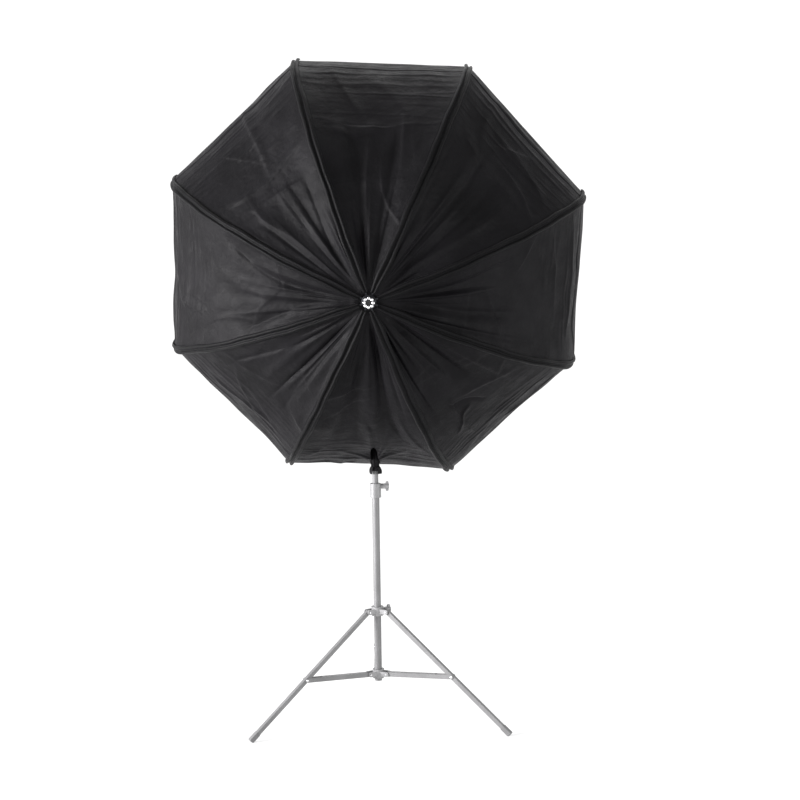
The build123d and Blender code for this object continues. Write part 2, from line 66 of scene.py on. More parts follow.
SHELL_GAP = 0.0040          # shell above the rib centre line
SHELL_T = 0.0010
SHELL_START = 0.006         # where the shell begins, along the rib from its hinge
BANDS = 16                  # pieces of each petal along its rib
ROWS_PER_BAND = 16          # quads of each piece along the rib
HALF_COLUMNS = 58           # quads from a rib to the middle of a gore
HEM_DEPTH = 0.014
HEM_T = 0.0024
RIM_BOW = 0.0045            # how far the rim draws in between two ribs
RIM_ROWS, RIM_COLUMNS = 6, 60       # points over half a gore of hem or binding
SLOT_HALF = 0.0105          # half width of the mast slot
SLOT_FROM, SLOT_TO = 0.189, 0.386   # along the shaft, from the crown
BINDING_W, BINDING_DEPTH, BINDING_T = 0.026, 0.4150, 0.0013
DIFFUSER_DEPTH = 0.4115
DIFFUSER_T = 0.0008
DIFFUSER_SAG = 0.0045
WEDGES = 4                  # diffuser pieces in a gore
SEED = 41
HEM_SEAM = 0.905            # s of the seam of the turned hem
GATHER_S = 0.80             # s of the point that the slot's pleats run to
FOLD_SCALE = 0.76           # metres of cloth to one unit of s, for short folds
FINE = 1e-12
# Long folds of single gores, counted from the lower right and clockwise from behind:
# (gore, s and w of one end, s and w of the other, height, width)
LONG_FOLDS = (
    (4, 0.98, 0.22, 0.54, 0.07, 0.0040, 0.012), (4, 0.54, 0.07, 0.05, 0.0, 0.0050, 0.016),
    (4, 0.57, -0.80, 0.56, 0.92, 0.0050, 0.014), (4, 0.50, -0.55, 0.06, -0.25, 0.0045, 0.013),
    (4, 0.48, 0.55, 0.06, 0.35, -0.0045, 0.012),
    (3, 0.55, 0.80, 0.10, 0.10, -0.0065, 0.016), (3, 0.45, -0.76, 0.07, -0.15, -0.0065, 0.016),
    (3, 0.62, 0.15, 0.08, 0.0, 0.0050, 0.020), (3, 0.80, -0.60, 0.72, 0.70, 0.0030, 0.012),
    (0, 0.47, -0.32, 0.05, -0.10, -0.0075, 0.018), (0, 0.44, 0.10, 0.06, 0.12, 0.0060, 0.014),
    (0, 0.48, 0.32, 0.76, 0.44, 0.0050, 0.008), (0, 0.58, 0.10, 0.67, 0.62, 0.0045, 0.007),
    (0, 0.62, -0.10, 0.50, 0.42, -0.0045, 0.009), (0, 0.85, -0.95, 0.86, 0.10, 0.0024, 0.005),
    (1, 0.64, -0.52, 0.05, -0.34, -0.0080, 0.018), (1, 0.58, -0.16, 0.05, -0.12, 0.0070, 0.014),
    (1, 0.66, 0.22, 0.05, 0.14, -0.0080, 0.018), (1, 0.62, 0.60, 0.05, 0.45, 0.0065, 0.014),
    (1, 0.86, 0.12, 0.85, 0.60, 0.0024, 0.005), (1, 0.50, 0.05, 0.74, -0.12, 0.0045, 0.010),
    (7, 0.56, -0.66, 0.08, -0.40, -0.0065, 0.014), (7, 0.58, 0.31, 0.08, 0.15, -0.0060, 0.014),
    (7, 0.84, -0.75, 0.83, 0.75, 0.0034, 0.010), (7, 0.90, -0.55, 0.89, 0.85, -0.0030, 0.008),
    (5, 0.66, -0.46, 0.05, -0.22, -0.0075, 0.018), (5, 0.60, -0.12, 0.06, -0.05, 0.0055, 0.013),
    (5, 0.62, 0.35, 0.05, 0.18, -0.0065, 0.016), (5, 0.58, -0.70, 0.60, 0.10, 0.0040, 0.012),
    (6, 0.70, -0.30, 0.06, -0.15, -0.0055, 0.016), (6, 0.62, 0.45, 0.06, 0.30, 0.0050, 0.014),
    (6, 0.66, -0.75, 0.60, 0.70, 0.0034, 0.014), (6, 0.80, -0.40, 0.72, 0.80, 0.0028, 0.010),
    (2, 0.60, -0.45, 0.05, -0.30, -0.0065, 0.016), (2, 0.56, 0.20, 0.06, 0.12, 0.0060, 0.014),
    (2, 0.62, 0.62, 0.05, 0.42, -0.0060, 0.014), (2, 0.72, -0.60, 0.78, 0.55, 0.0032, 0.010))

joints = {j["name"]: j for j in frame["joints"]}

# ---- the softbox frame, read from the rib hinges
hinge_points = [Vector(joints[f"rib_{k}_hinge"]["pos_m"]) for k in range(1, RIB_COUNT + 1)]
CROWN = sum(hinge_points, Vector()) / RIB_COUNT
AXIS = Vector(joints["umbrella_fold"]["axis"]).normalized()
PIVOT_R = (hinge_points[0] - CROWN).length
SPOKES = [(p - CROWN).normalized() for p in hinge_points]
TANGENTS = [AXIS.cross(e).normalized() for e in SPOKES]
FOLD_TURN = math.radians(joints["rib_1_hinge"]["range_deg"][1])
DOWN = Vector((0, 0, -1)) - AXIS * AXIS.dot(Vector((0, 0, -1)))
DOWN.normalize()


def unit(v):
    return v / np.maximum(np.linalg.norm(v, axis=-1, keepdims=True), FINE)


def smoothstep(low, high, x):
    t = np.clip((x - low) / (high - low), 0.0, 1.0)
    return t * t * (3 - 2 * t)


def rib_curve(s):
    """Radius, depth and tangent angle at distance s along a rib from its hinge."""
    s = np.asarray(s, float)
    radius = np.zeros_like(s)
    depth = np.zeros_like(s)
    tangent = np.zeros_like(s)
    r0, z0, a0, used = PIVOT_R, 0.0, 0.0, 0.0
    for i, (length, turn) in enumerate(RIB_ARCS):
        arc_r = length / math.radians(turn)
        here = np.clip(s - used, 0.0, None if i == len(RIB_ARCS) - 1 else length)
        a = a0 + here / arc_r
        inside = s >= used
        radius = np.where(inside, r0 + arc_r * (np.sin(a) - math.sin(a0)), radius)
        depth = np.where(inside, z0 + arc_r * (math.cos(a0) - np.cos(a)), depth)
        tangent = np.where(inside, a, tangent)
        a1 = a0 + math.radians(turn)
        r0, z0 = r0 + arc_r * (math.sin(a1) - math.sin(a0)), z0 + arc_r * (math.cos(a0) - math.cos(a1))
        a0, used = a1, used + length
    return radius, depth, tangent


RIB_LENGTH = sum(length for length, _ in RIB_ARCS)
SHELL_END = RIB_LENGTH - RIB_ARCS[-1][0] * (1 - SHELL_LAST_TURN / RIB_ARCS[-1][1])
SHELL_LENGTH = SHELL_END - SHELL_START


def shell_curve(s):
    """Radius, depth and tangent angle of the rib at share s of the shell."""
    return rib_curve(SHELL_START + s * SHELL_LENGTH)


def gore_axes(gore):
    """The middle direction of a gore, and the half step from it to the next rib, both for radius 1."""
    one, two = np.array(SPOKES[gore]), np.array(SPOKES[(gore + 1) % RIB_COUNT])
    return (one + two) / 2, (two - one) / 2


# ---- seeded wrinkles of one gore, as heights in metres over (s, w)
def value_noise(rng, cells_a, cells_b, a, b):
    """Smooth noise from -1 to 1 on a lattice, sampled at a and b from 0 to 1."""
    lattice = rng.uniform(-1, 1, (cells_a + 3, cells_b + 3))
    x, y = np.clip(a, 0, 1) * cells_a, np.clip(b, 0, 1) * cells_b
    i, j = np.floor(x).astype(int), np.floor(y).astype(int)
    u, v = x - i, y - j
    u, v = u * u * (3 - 2 * u), v * v * (3 - 2 * v)
    top = lattice[i, j] * (1 - u) + lattice[i + 1, j] * u
    low = lattice[i, j + 1] * (1 - u) + lattice[i + 1, j + 1] * u
    return top * (1 - v) + low * v


def crease(distance, width):
    """A soft-shouldered fold: sharp on one side, longer on the other."""
    near = np.where(distance < 0, distance * 1.9, distance * 0.8) / width
    return 1.0 / np.cosh(np.clip(near, -20, 20)) ** 1.6


def gore_height(gore, s, w):
    """Height of the cloth over the flat gore at share s from crown to rim and w from rib to rib."""
    rng = np.random.default_rng(SEED + 17 * gore)
    half_width = shell_curve(s)[0] * math.sin(HALF_STEP)
    bay = 1 - np.abs(w) ** 2
    pinned = 1 - np.abs(w) ** 10
    belly = np.sin(np.pi * np.clip(s, 0, 1)) ** 0.75
    sag = -0.017 * belly * bay * (1 - 0.45 * smoothstep(0.8, 1.0, s))
    # creases that fan out from the crown
    fan = np.zeros_like(s)
    for _ in range(15):
        at, drift = rng.uniform(-0.93, 0.93), rng.uniform(-0.10, 0.10)
        reach, tall = rng.uniform(0.25, 0.75), rng.uniform(0.0015, 0.0048)
        width = rng.uniform(0.005, 0.013)
        side = rng.choice([-1.0, 1.0])
        line = (w - at - drift * s) * half_width * side
        fade = smoothstep(0.015, 0.10, s) * (1 - smoothstep(reach * 0.45, reach, s))
        fan += crease(line, width * (0.5 + 1.2 * s)) * tall * fade * rng.choice([-1.0, 1.0])
    fan *= np.minimum(1.0, half_width / 0.05)
    # tension lines from rib to rib, close to the rim
    bands = np.zeros_like(s)
    at = rng.uniform(0.58, 0.62)
    while at < 0.985:
        tall = rng.uniform(0.0006, 0.0021) * smoothstep(0.50, 0.78, at)
        bow = rng.uniform(-0.010, 0.020)
        tilt = rng.uniform(-0.007, 0.007)
        width = rng.uniform(0.0035, 0.008)
        line = (s - at - bow * bay - tilt * w) * SHELL_LENGTH
        strength = 0.55 + 0.75 * value_noise(rng, 1, 5, s, (w + 1) / 2)
        bands += crease(line, width) * tall * strength
        at += rng.uniform(0.013, 0.030)
    # short folds where the cloth has caught
    caught = np.zeros_like(s)
    for _ in range(7):
        mid_s, mid_w = rng.uniform(0.30, 0.85), rng.uniform(-0.8, 0.8)
        angle = rng.uniform(-0.7, 0.7) + (math.pi / 2 if rng.random() < 0.45 else 0.0)
        length, width = rng.uniform(0.035, 0.11), rng.uniform(0.006, 0.014)
        tall = rng.uniform(0.0012, 0.0036)
        along_s, along_w = (s - mid_s) * FOLD_SCALE, (w - mid_w) * half_width
        run = along_s * math.cos(angle) + along_w * math.sin(angle)
        off = -along_s * math.sin(angle) + along_w * math.cos(angle)
        off = off + rng.uniform(-2.2, 2.2) * run ** 2
        caught += crease(off, width) * tall * np.exp(-((run / length) ** 2))
    # the long folds of this gore
    for number, s0, w0, s1, w1, tall, width in LONG_FOLDS:
        if number != gore:
            continue
        if abs(s1 - s0) > 0.2:      # it runs out from the crown
            t = (s - s0) / (s1 - s0)
            off = (w - (w0 + (w1 - w0) * np.clip(t, 0, 1))) * half_width
            off = off + 0.006 * np.sin(t * 5 + w0 * 7)
        else:                       # it runs across the gore
            t = (w - w0) / (w1 - w0)
            off = (s - s0 - (s1 - s0) * t + 0.012 * np.sin(t * math.pi * 2 + s0 * 9)) * SHELL_LENGTH
        caught += crease(off, width) * tall * smoothstep(-0.02, 0.22, t) * (1 - smoothstep(0.78, 1.02, t))
    soft = 0.0035 * value_noise(rng, 4, 4, s, (w + 1) / 2) + 0.0014 * value_noise(
        rng, 11, 9, s, (w + 1) / 2)
    soft = soft * smoothstep(0.04, 0.25, s) * (1 - 0.75 * smoothstep(0.93, 1.0, s))
    # the turned hem, a double layer along the rim
    hem = (0.0009 * smoothstep(HEM_SEAM, HEM_SEAM + 0.004, s)
           - 0.0010 * np.exp(-((s - HEM_SEAM) / 0.0035) ** 2))
    return (sag + (fan + bands + caught + soft) * pinned) * smoothstep(0.0, 0.05, s) + hem


BOTTOM_GORE = max(range(RIB_COUNT), key=lambda g: (SPOKES[g] + SPOKES[(g + 1) % RIB_COUNT]).dot(DOWN))


def slot_line(s):
    """The w of the mast slot's centre line in the bottom gore. It lies over the mast, not under the shaft."""
    radius = shell_curve(s)[0]
    one, two = SPOKES[BOTTOM_GORE], SPOKES[(BOTTOM_GORE + 1) % RIB_COUNT]
    w = (-CROWN.x / radius - ((one + two) / 2).x) / ((two - one) / 2).x
    return w * smoothstep(0.12, 0.32, s)


SLOT_W = float(slot_line(np.array(GATHER_S)))


def half_span(gore, side):
    """The w range of half a gore at the rim: side -1 is the half next to rib gore."""
    middle = float(slot_line(np.array(1.0))) if gore == BOTTOM_GORE else 0.0
    return (-1.0, middle) if side < 0 else (middle, 1.0)


def gather_height(s, w, half_width):
    """Pleats of the bottom gore that run into the mast slot."""
    rng = np.random.default_rng(SEED + 7)
    out = np.zeros_like(s)
    for _ in range(16):
        heading, tall = rng.uniform(-1.25, 1.25), rng.uniform(0.0012, 0.0040)
        length, width = rng.uniform(0.05, 0.20), rng.uniform(0.0025, 0.006)
        ds, du = (GATHER_S - s) * FOLD_SCALE, (w - SLOT_W) * half_width
        run = ds * math.cos(heading) + du * math.sin(heading)
        off = -ds * math.sin(heading) + du * math.cos(heading)
        fade = smoothstep(0.006, 0.03, run) * np.exp(-((np.maximum(run, 0) / length) ** 2))
        height = crease(off * rng.choice([-1.0, 1.0]), width * (0.6 + run / 0.1)) * tall
        out += height * fade * (run > 0)
    return out


def shell_point(gore, s, w):
    """Points of the shell in the row frame, for s and w arrays of one shape."""
    radius, depth, tangent = shell_curve(s)
    axis = np.array(AXIS)
    mid, across = gore_axes(gore)
    flat = radius[..., None] * (mid + w[..., None] * across) + depth[..., None] * axis
    inward = np.cos(tangent) * math.cos(HALF_STEP)
    normal = unit(np.sin(tangent)[..., None] * unit(mid) - inward[..., None] * axis)
    height = gore_height(gore, s, w)
    if gore == BOTTOM_GORE:
        height = height + gather_height(s, w, radius * math.sin(HALF_STEP)) * (1 - np.abs(w) ** 10)
    rise = SHELL_GAP * smoothstep(0, 0.03, s) + height
    return np.array(CROWN) + flat + rise[..., None] * normal


def grid_normals(points, outward):
    """Normals of a point grid, on the side that outward points to."""
    du = np.gradient(points, axis=0)
    dv = np.gradient(points, axis=1)
    n = unit(np.cross(dv, du))
    return n if (n * outward).sum() > 0 else -n


# ---- meshes
def new_object(name, verts, faces, materials, face_slots=None, normals=None):
    mesh = bpy.data.meshes.new(name)
    mesh.from_pydata([tuple(v) for v in verts], [], [tuple(f) for f in faces])
    for material in materials:
        mesh.materials.append(material)
    if face_slots is not None:
        mesh.polygons.foreach_set("material_index", np.asarray(face_slots, np.int32))
    mesh.polygons.foreach_set("use_smooth", np.full(len(mesh.polygons), True))
    mesh.update()
    if normals is not None:
        mesh.normals_split_custom_set_from_vertices([tuple(n) for n in normals])
    obj = bpy.data.objects.new(name, mesh)
    bpy.context.scene.collection.objects.link(obj)
    return obj


def grid_faces(rows, columns, offset=0, flip=False):
    i, j = np.meshgrid(np.arange(rows - 1), np.arange(columns - 1), indexing="ij")
    a = (i * columns + j).ravel() + offset
    quads = np.stack([a, a + 1, a + columns + 1, a + columns], 1)
    return quads[:, ::-1] if flip else quads


def rim_loop(rows, columns):
    """Indices round the edge of a grid."""
    top = list(range(columns))
    right = [i * columns + columns - 1 for i in range(1, rows)]
    low = [(rows - 1) * columns + j for j in range(columns - 2, -1, -1)]
    left = [i * columns for i in range(rows - 2, 0, -1)]
    return top + right + low + left


def thick_sheet(name, grids, thickness, materials):
    """One closed thin solid for each (points, normals) grid: the outside takes the first material."""
    verts, faces, slots, normals = [], [], [], []
    for points, out in grids:
        rows, columns = points.shape[:2]
        base = len(verts)
        count = rows * columns
        flat, n = points.reshape(-1, 3), out.reshape(-1, 3)
        verts += list(flat + n * thickness / 2) + list(flat - n * thickness / 2)
        normals += list(n) + list(-n)
        outer = grid_faces(rows, columns, base)
        inner = grid_faces(rows, columns, base + count, flip=True)
        loop = rim_loop(rows, columns)
        walls = [[base + a, base + a + count, base + b + count, base + b]
                 for a, b in zip(loop, loop[1:] + loop[:1])]
        # outward winding is decided from the first quad
        a, b, c = (np.array(verts[k]) for k in outer[0][:3])
        if np.dot(np.cross(b - a, c - a), n[0]) < 0:
            outer, inner, walls = outer[:, ::-1], inner[:, ::-1], [q[::-1] for q in walls]
        faces += [list(q) for q in outer] + [list(q) for q in inner] + walls
        slots += [0] * len(outer) + [1] * len(inner) + [0] * len(walls)
    return new_object(name, verts, faces, materials, slots, normals)


def tubes(name, solids, material):
    """One object of closed solids, each a list of point rings of one length."""
    verts, faces = [], []
    for rings in solids:
        base, count, last = len(verts), len(rings[0]), len(rings) - 1
        for ring in rings:
            verts += list(ring)
        for i in range(last):
            low, high = base + i * count, base + (i + 1) * count
            for j in range(count):
                k = (j + 1) % count
                faces.append([low + j, low + k, high + k, high + j])
        faces.append([base + j for j in range(count)][::-1])
        faces.append([base + last * count + j for j in range(count)])
    obj = new_object(name, verts, faces, [material])
    bm = bmesh.new()
    bm.from_mesh(obj.data)
    bmesh.ops.recalc_face_normals(bm, faces=bm.faces)
    bm.to_mesh(obj.data)
    bm.free()
    return obj


def turned(origin, way, profile, steps, scallop=None):
    """Rings of (radius, height) points turned round way. scallop scales each radius by the angle."""
    way = Vector(way).normalized()
    side = way.orthogonal().normalized()
    up = way.cross(side).normalized()
    rings = []
    for radius, height in profile:
        ring = []
        for j in range(steps):
            a = 2 * math.pi * j / steps
            r = radius * (scallop(a, radius) if scallop else 1.0)
            out = side * math.cos(a) + up * math.sin(a)
            ring.append(Vector(origin) + way * height + out * r)
        rings.append(ring)
    return rings


# ---- materials
def shader(name, colour, roughness, metallic=0.0, **sockets):
    material = bpy.data.materials.new(name)
    material.use_nodes = True
    tree = material.node_tree
    bsdf = tree.nodes["Principled BSDF"]
    bsdf.inputs["Base Color"].default_value = (*colour, 1)
    bsdf.inputs["Roughness"].default_value = roughness
    bsdf.inputs["Metallic"].default_value = metallic
    for key, value in sockets.items():
        bsdf.inputs[key.replace("_", " ")].default_value = value
    return material, tree, bsdf


def add(tree, kind, **values):
    node = tree.nodes.new(kind)
    for key, value in values.items():
        if key in node.inputs:
            node.inputs[key].default_value = value
        else:
            setattr(node, key, value)
    return node


def noise(tree, coords, scale, detail=4.0, stretch=None):
    tex = add(tree, "ShaderNodeTexNoise", Scale=scale, Detail=detail)
    if stretch:
        mapping = add(tree, "ShaderNodeMapping", Scale=stretch)
        tree.links.new(coords, mapping.inputs["Vector"])
        coords = mapping.outputs["Vector"]
    tree.links.new(coords, tex.inputs["Vector"])
    return tex.outputs["Fac"]


def remap(tree, value, low, high, a, b):
    node = add(tree, "ShaderNodeMapRange")
    node.inputs["From Min"].default_value, node.inputs["From Max"].default_value = low, high
    node.inputs["To Min"].default_value, node.inputs["To Max"].default_value = a, b
    tree.links.new(value, node.inputs["Value"])
    return node.outputs["Result"]


def tint(tree, bsdf, fac, dark, light):
    ramp = add(tree, "ShaderNodeValToRGB")
    first, second = ramp.color_ramp.elements
    first.position, second.position = 0.3, 0.7
    first.color, second.color = (*dark, 1), (*light, 1)
    tree.links.new(fac, ramp.inputs["Fac"])
    tree.links.new(ramp.outputs["Color"], bsdf.inputs["Base Color"])


def bumps(tree, bsdf, *layers):
    """Bump from (height, distance in metres) layers, the finest last."""
    last = None
    for height, distance in layers:
        node = add(tree, "ShaderNodeBump", Strength=1.0, Distance=distance)
        tree.links.new(height, node.inputs["Height"])
        if last:
            tree.links.new(last, node.inputs["Normal"])
        last = node.outputs["Normal"]
    tree.links.new(last, bsdf.inputs["Normal"])


def weave(tree, coords, pitch):
    """Height of crossing threads, pitch metres apart."""
    parts = []
    for direction in ("X", "Y", "Z"):
        wave = add(tree, "ShaderNodeTexWave", bands_direction=direction, wave_profile="SIN",
                   Scale=0.314 / pitch, Distortion=0.4)
        wave.inputs["Detail Scale"].default_value = 4.0
        tree.links.new(coords, wave.inputs["Vector"])
        parts.append(wave.outputs["Fac"])
    total = parts[0]
    for part in parts[1:]:
        mix = add(tree, "ShaderNodeMath", operation="ADD")
        tree.links.new(total, mix.inputs[0])
        tree.links.new(part, mix.inputs[1])
        total = mix.outputs[0]
    return total


def coords_of(tree):
    return add(tree, "ShaderNodeTexCoord").outputs["Object"]


def painted_metal(name, dark, light, roughness, metallic=0.6, coat=0.12):
    """Powder-coated or satin tube: orange peel, faint drawn lines, handling marks."""
    material, tree, bsdf = shader(name, light, roughness, metallic, Coat_Weight=coat, Coat_Roughness=0.3)
    co = coords_of(tree)
    tint(tree, bsdf, noise(tree, co, 18.0, 6.0), dark, light)
    marks = noise(tree, co, 60.0, 8.0, (1, 1, 0.12))
    tree.links.new(remap(tree, marks, 0.35, 0.75, roughness - 0.08, roughness + 0.14),
                   bsdf.inputs["Roughness"])
    bumps(tree, bsdf, (noise(tree, co, 900.0, 2.0), 0.00008),
          (noise(tree, co, 5000.0, 1.0, (1, 1, 0.04)), 0.00001))
    return material


def moulded(name, dark, light, roughness, grain=2600.0, depth=0.00006):
    """Moulded plastic or rubber with a spark-eroded grain."""
    material, tree, bsdf = shader(name, light, roughness, 0.0, Specular_IOR_Level=0.42)
    co = coords_of(tree)
    tint(tree, bsdf, noise(tree, co, 35.0, 5.0), dark, light)
    tree.links.new(remap(tree, noise(tree, co, 140.0, 5.0), 0.3, 0.7, roughness - 0.1, roughness + 0.1),
                   bsdf.inputs["Roughness"])
    bumps(tree, bsdf, (noise(tree, co, 260.0, 3.0), depth), (noise(tree, co, grain, 2.0), depth * 0.5))
    return material


def cloth(name, dark, light, roughness, pitch, sheen, sheen_tint, crumple, specular, metallic=0.0):
    """Woven nylon: threads, crumple, and a sheen that is stronger where it has been handled."""
    material, tree, bsdf = shader(
        name, light, roughness, metallic, Sheen_Weight=sheen, Sheen_Roughness=0.35,
        Sheen_Tint=(*sheen_tint, 1), Specular_IOR_Level=specular, Coat_Weight=0.0, Coat_Roughness=0.42)
    co = coords_of(tree)
    tint(tree, bsdf, noise(tree, co, 7.0, 7.0), dark, light)
    tree.links.new(remap(tree, noise(tree, co, 26.0, 6.0), 0.3, 0.7, roughness - 0.09, roughness + 0.09),
                   bsdf.inputs["Roughness"])
    threads = weave(tree, co, pitch)
    bumps(tree, bsdf, (noise(tree, co, 24.0, 5.0), crumple), (noise(tree, co, 85.0, 3.0), crumple * 0.25),
          (threads, pitch * 0.10))
    return material


BLACK_NYLON = cloth("black_nylon", (0.0035, 0.0033, 0.0038), (0.0068, 0.0064, 0.0074), 0.47, 0.00045,
                    0.02, (0.62, 0.58, 0.68), crumple=0.0036, specular=0.066)
PIPING = cloth("piping_nylon", (0.0028, 0.0028, 0.0030), (0.0056, 0.0054, 0.0060), 0.46, 0.00045,
               0.02, (0.6, 0.6, 0.65), crumple=0.0010, specular=0.072)
SILVER_LINING = cloth("silver_lining", (0.52, 0.53, 0.54), (0.68, 0.69, 0.70), 0.34, 0.0006,
                      0.05, (1, 1, 1), crumple=0.003, specular=0.8, metallic=0.75)
WEBBING = cloth("hem_webbing", (0.006, 0.006, 0.0065), (0.012, 0.0115, 0.0125), 0.78, 0.0011,
                0.08, (0.5, 0.5, 0.5), crumple=0.0008, specular=0.2)
WHITE_CLOTH = cloth("diffusion_cloth", (0.66, 0.66, 0.655), (0.76, 0.76, 0.755), 0.72, 0.0006,
                    0.12, (1, 1, 1), crumple=0.0040, specular=0.25)

STAND_METAL = painted_metal("stand_satin", (0.150, 0.150, 0.152), (0.195, 0.195, 0.198), 0.52, 0.25)
STAND_FITTING = painted_metal("fitting_satin", (0.20, 0.20, 0.204), (0.27, 0.27, 0.274), 0.46, 0.2)
BRIGHT = painted_metal("bright_steel", (0.60, 0.60, 0.61), (0.78, 0.78, 0.79), 0.20, 1.0, 0.0)
PIN = painted_metal("pin_steel", (0.50, 0.50, 0.51), (0.70, 0.70, 0.71), 0.26, 1.0, 0.0)
SPRING = painted_metal("blued_spring_steel", (0.018, 0.019, 0.022), (0.036, 0.037, 0.041), 0.34, 0.85, 0.1)
SHAFT_TUBE = painted_metal("shaft_silver", (0.42, 0.42, 0.43), (0.58, 0.58, 0.59), 0.26, 1.0, 0.0)
RUBBER = moulded("rubber", (0.130, 0.130, 0.132), (0.175, 0.175, 0.178), 0.66, 3000.0, 0.00012)
MOULDED = moulded("black_moulding", (0.014, 0.014, 0.015), (0.028, 0.028, 0.029), 0.46)
BY_SLOT = {"stand_metal": STAND_METAL, "stand_fitting": STAND_FITTING, "bright_steel": BRIGHT,
           "pin_steel": PIN, "rubber": RUBBER, "black_moulding": MOULDED, "spring_steel": SPRING,
           "silver_tube": SHAFT_TUBE, "black_fabric": BLACK_NYLON, "hem_webbing": WEBBING,
           "white_fabric": WHITE_CLOTH}
for entry in frame["record"]["subparts"]:
    mesh = frame["nodes"][entry["node"]].data
    mesh.materials.clear()
    mesh.materials.append(BY_SLOT[entry["material_slot"]])


# ---- the shell: eight petals, one to each rib, in bands along each rib
def slot_half_width(s, share_from, share_to):
    t = np.clip((2 * s - share_from - share_to) / (share_to - share_from), -1, 1)
    return SLOT_HALF * np.sqrt(1 - np.abs(t) ** 5)


shares = np.linspace(0, 1, 4001)
depths = shell_curve(shares)[1]
slot_s = [float(np.interp(d, depths, shares)) for d in (SLOT_FROM, SLOT_TO)]
rows = BANDS * ROWS_PER_BAND + 1
s_line = np.linspace(0, 1, rows)
half_widths = shell_curve(s_line)[0] * math.sin(HALF_STEP)
t_line = np.linspace(0, 1, HALF_COLUMNS + 1)


def half_gore(gore, side):
    """Points and normals of half a gore: side -1 is the half next to rib gore, side 1 the other."""
    middle = np.zeros(rows)
    if gore == BOTTOM_GORE:
        opening = slot_half_width(s_line, *slot_s) / half_widths
        middle = slot_line(s_line) + side * opening
    start, end = (-np.ones(rows), middle) if side < 0 else (middle, np.ones(rows))
    w = start[:, None] + (end - start)[:, None] * t_line[None, :]
    s = np.repeat(s_line[:, None], HALF_COLUMNS + 1, axis=1)
    points = shell_point(gore, s, w)
    # normals by a small step in s and w, so that neighbours agree along every edge
    step = 0.0015
    ahead = (shell_point(gore, np.clip(s + step, 0, 1), w)
             - shell_point(gore, np.clip(s - step, 0, 1), w))
    beside = shell_point(gore, s, w + step * 1.6) - shell_point(gore, s, w - step * 1.6)
    n = unit(np.cross(beside, ahead))
    outward = points - (np.array(CROWN) + 0.45 * np.array(AXIS))
    n = np.where((n * outward).sum(-1, keepdims=True) < 0, -n, n)
    return points, n


def keep_for(radius, depth):
    """Share of a petal's width left when the ribs have folded, so that neighbours still meet."""
    c, s = math.cos(FOLD_TURN), math.sin(FOLD_TURN)
    middle_radius = radius * math.cos(HALF_STEP) ** 2
    folded = PIVOT_R + (middle_radius - PIVOT_R) * c - depth * s
    return min(1.0, max(0.035, math.tan(HALF_STEP) * folded
                        / (radius * math.sin(HALF_STEP) * math.cos(HALF_STEP))))


def with_rib(piece, k, keep=None):
    """Rides rib k. With keep, the piece also gets a mesh of its own."""
    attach(piece, f"rib_{k + 1}")
    if keep is not None:
        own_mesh(piece)


gores = {(g, side): half_gore(g, side) for g in range(RIB_COUNT) for side in (-1, 1)}
for k in range(RIB_COUNT):
    before, after = gores[(k - 1) % RIB_COUNT, 1], gores[k, -1]
    for band in range(BANDS):
        pick = slice(band * ROWS_PER_BAND, (band + 1) * ROWS_PER_BAND + 1)
        grids = [(g[0][pick], g[1][pick]) for g in (before, after)]
        petal = thick_sheet(f"canopy_{k + 1}_{band + 1}", grids, SHELL_T, [BLACK_NYLON, SILVER_LINING])
        mid_s = (band + 0.5) / BANDS
        radius, depth, _ = (float(v) for v in shell_curve(mid_s))
        if k == 0 and band == 0:
            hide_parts("canopy")
        with_rib(petal, k, keep_for(radius, depth))

# ---- the webbing round the rim: the hem in front of the shell, and the binding over the white cloth
rim_radius, rim_depth, _ = (float(v) for v in rib_curve(SHELL_END))


RIM_EDGE = rim_radius + SHELL_GAP * 0.9
RIM_KEEP = keep_for(rim_radius, rim_depth)


def rim_grid(gore, side):
    """Half a gore of the hem."""
    mid, across = gore_axes(gore)
    depth_from, depth_to = rim_depth - 0.0005, rim_depth + HEM_DEPTH
    w = np.repeat(np.linspace(*half_span(gore, side), RIM_COLUMNS)[None, :], RIM_ROWS, axis=0)
    d = np.repeat(np.linspace(depth_from, depth_to, RIM_ROWS)[:, None], RIM_COLUMNS, axis=1)
    share = (d - depth_from) / (depth_to - depth_from)
    bow = -RIM_BOW * (1 - w ** 2)
    ripple = 0.0009 * np.sin(w * 41 + gore) * share + 0.0006 * np.sin(w * 97 + 2 * gore)
    points = (np.array(CROWN) + RIM_EDGE * (mid + w[..., None] * across) + d[..., None] * np.array(AXIS)
              + (bow + ripple * (1 - w ** 8))[..., None] * unit(mid))
    return points, grid_normals(points, unit(mid))


def front_grid(gore, side):
    """Half a gore of the flat binding round the front."""
    mid, across = gore_axes(gore)
    w = np.repeat(np.linspace(*half_span(gore, side), RIM_COLUMNS)[None, :], RIM_ROWS, axis=0)
    inner = np.repeat(np.linspace(0, 1, RIM_ROWS)[:, None], RIM_COLUMNS, axis=1)
    radius = RIM_EDGE - 0.0016 - BINDING_W * inner
    depth = BINDING_DEPTH + 0.0005 * np.sin(w * 33 + gore) * inner + 0.0003 * np.sin(w * 71) * inner
    points = (np.array(CROWN) + radius[..., None] * (mid + w[..., None] * across)
              - (RIM_BOW * (1 - w ** 2))[..., None] * unit(mid) + depth[..., None] * np.array(AXIS))
    return points, grid_normals(points, np.array(AXIS))


def webbing_piece(name, k, grid, thickness):
    """A strip of webbing on rib k, made of the half gores on its two sides."""
    grids = [grid((k - 1) % RIB_COUNT, 1), grid(k, -1)]
    strip = thick_sheet(name, grids, thickness, [WEBBING, WEBBING])
    with_rib(strip, k, RIM_KEEP)
    return strip


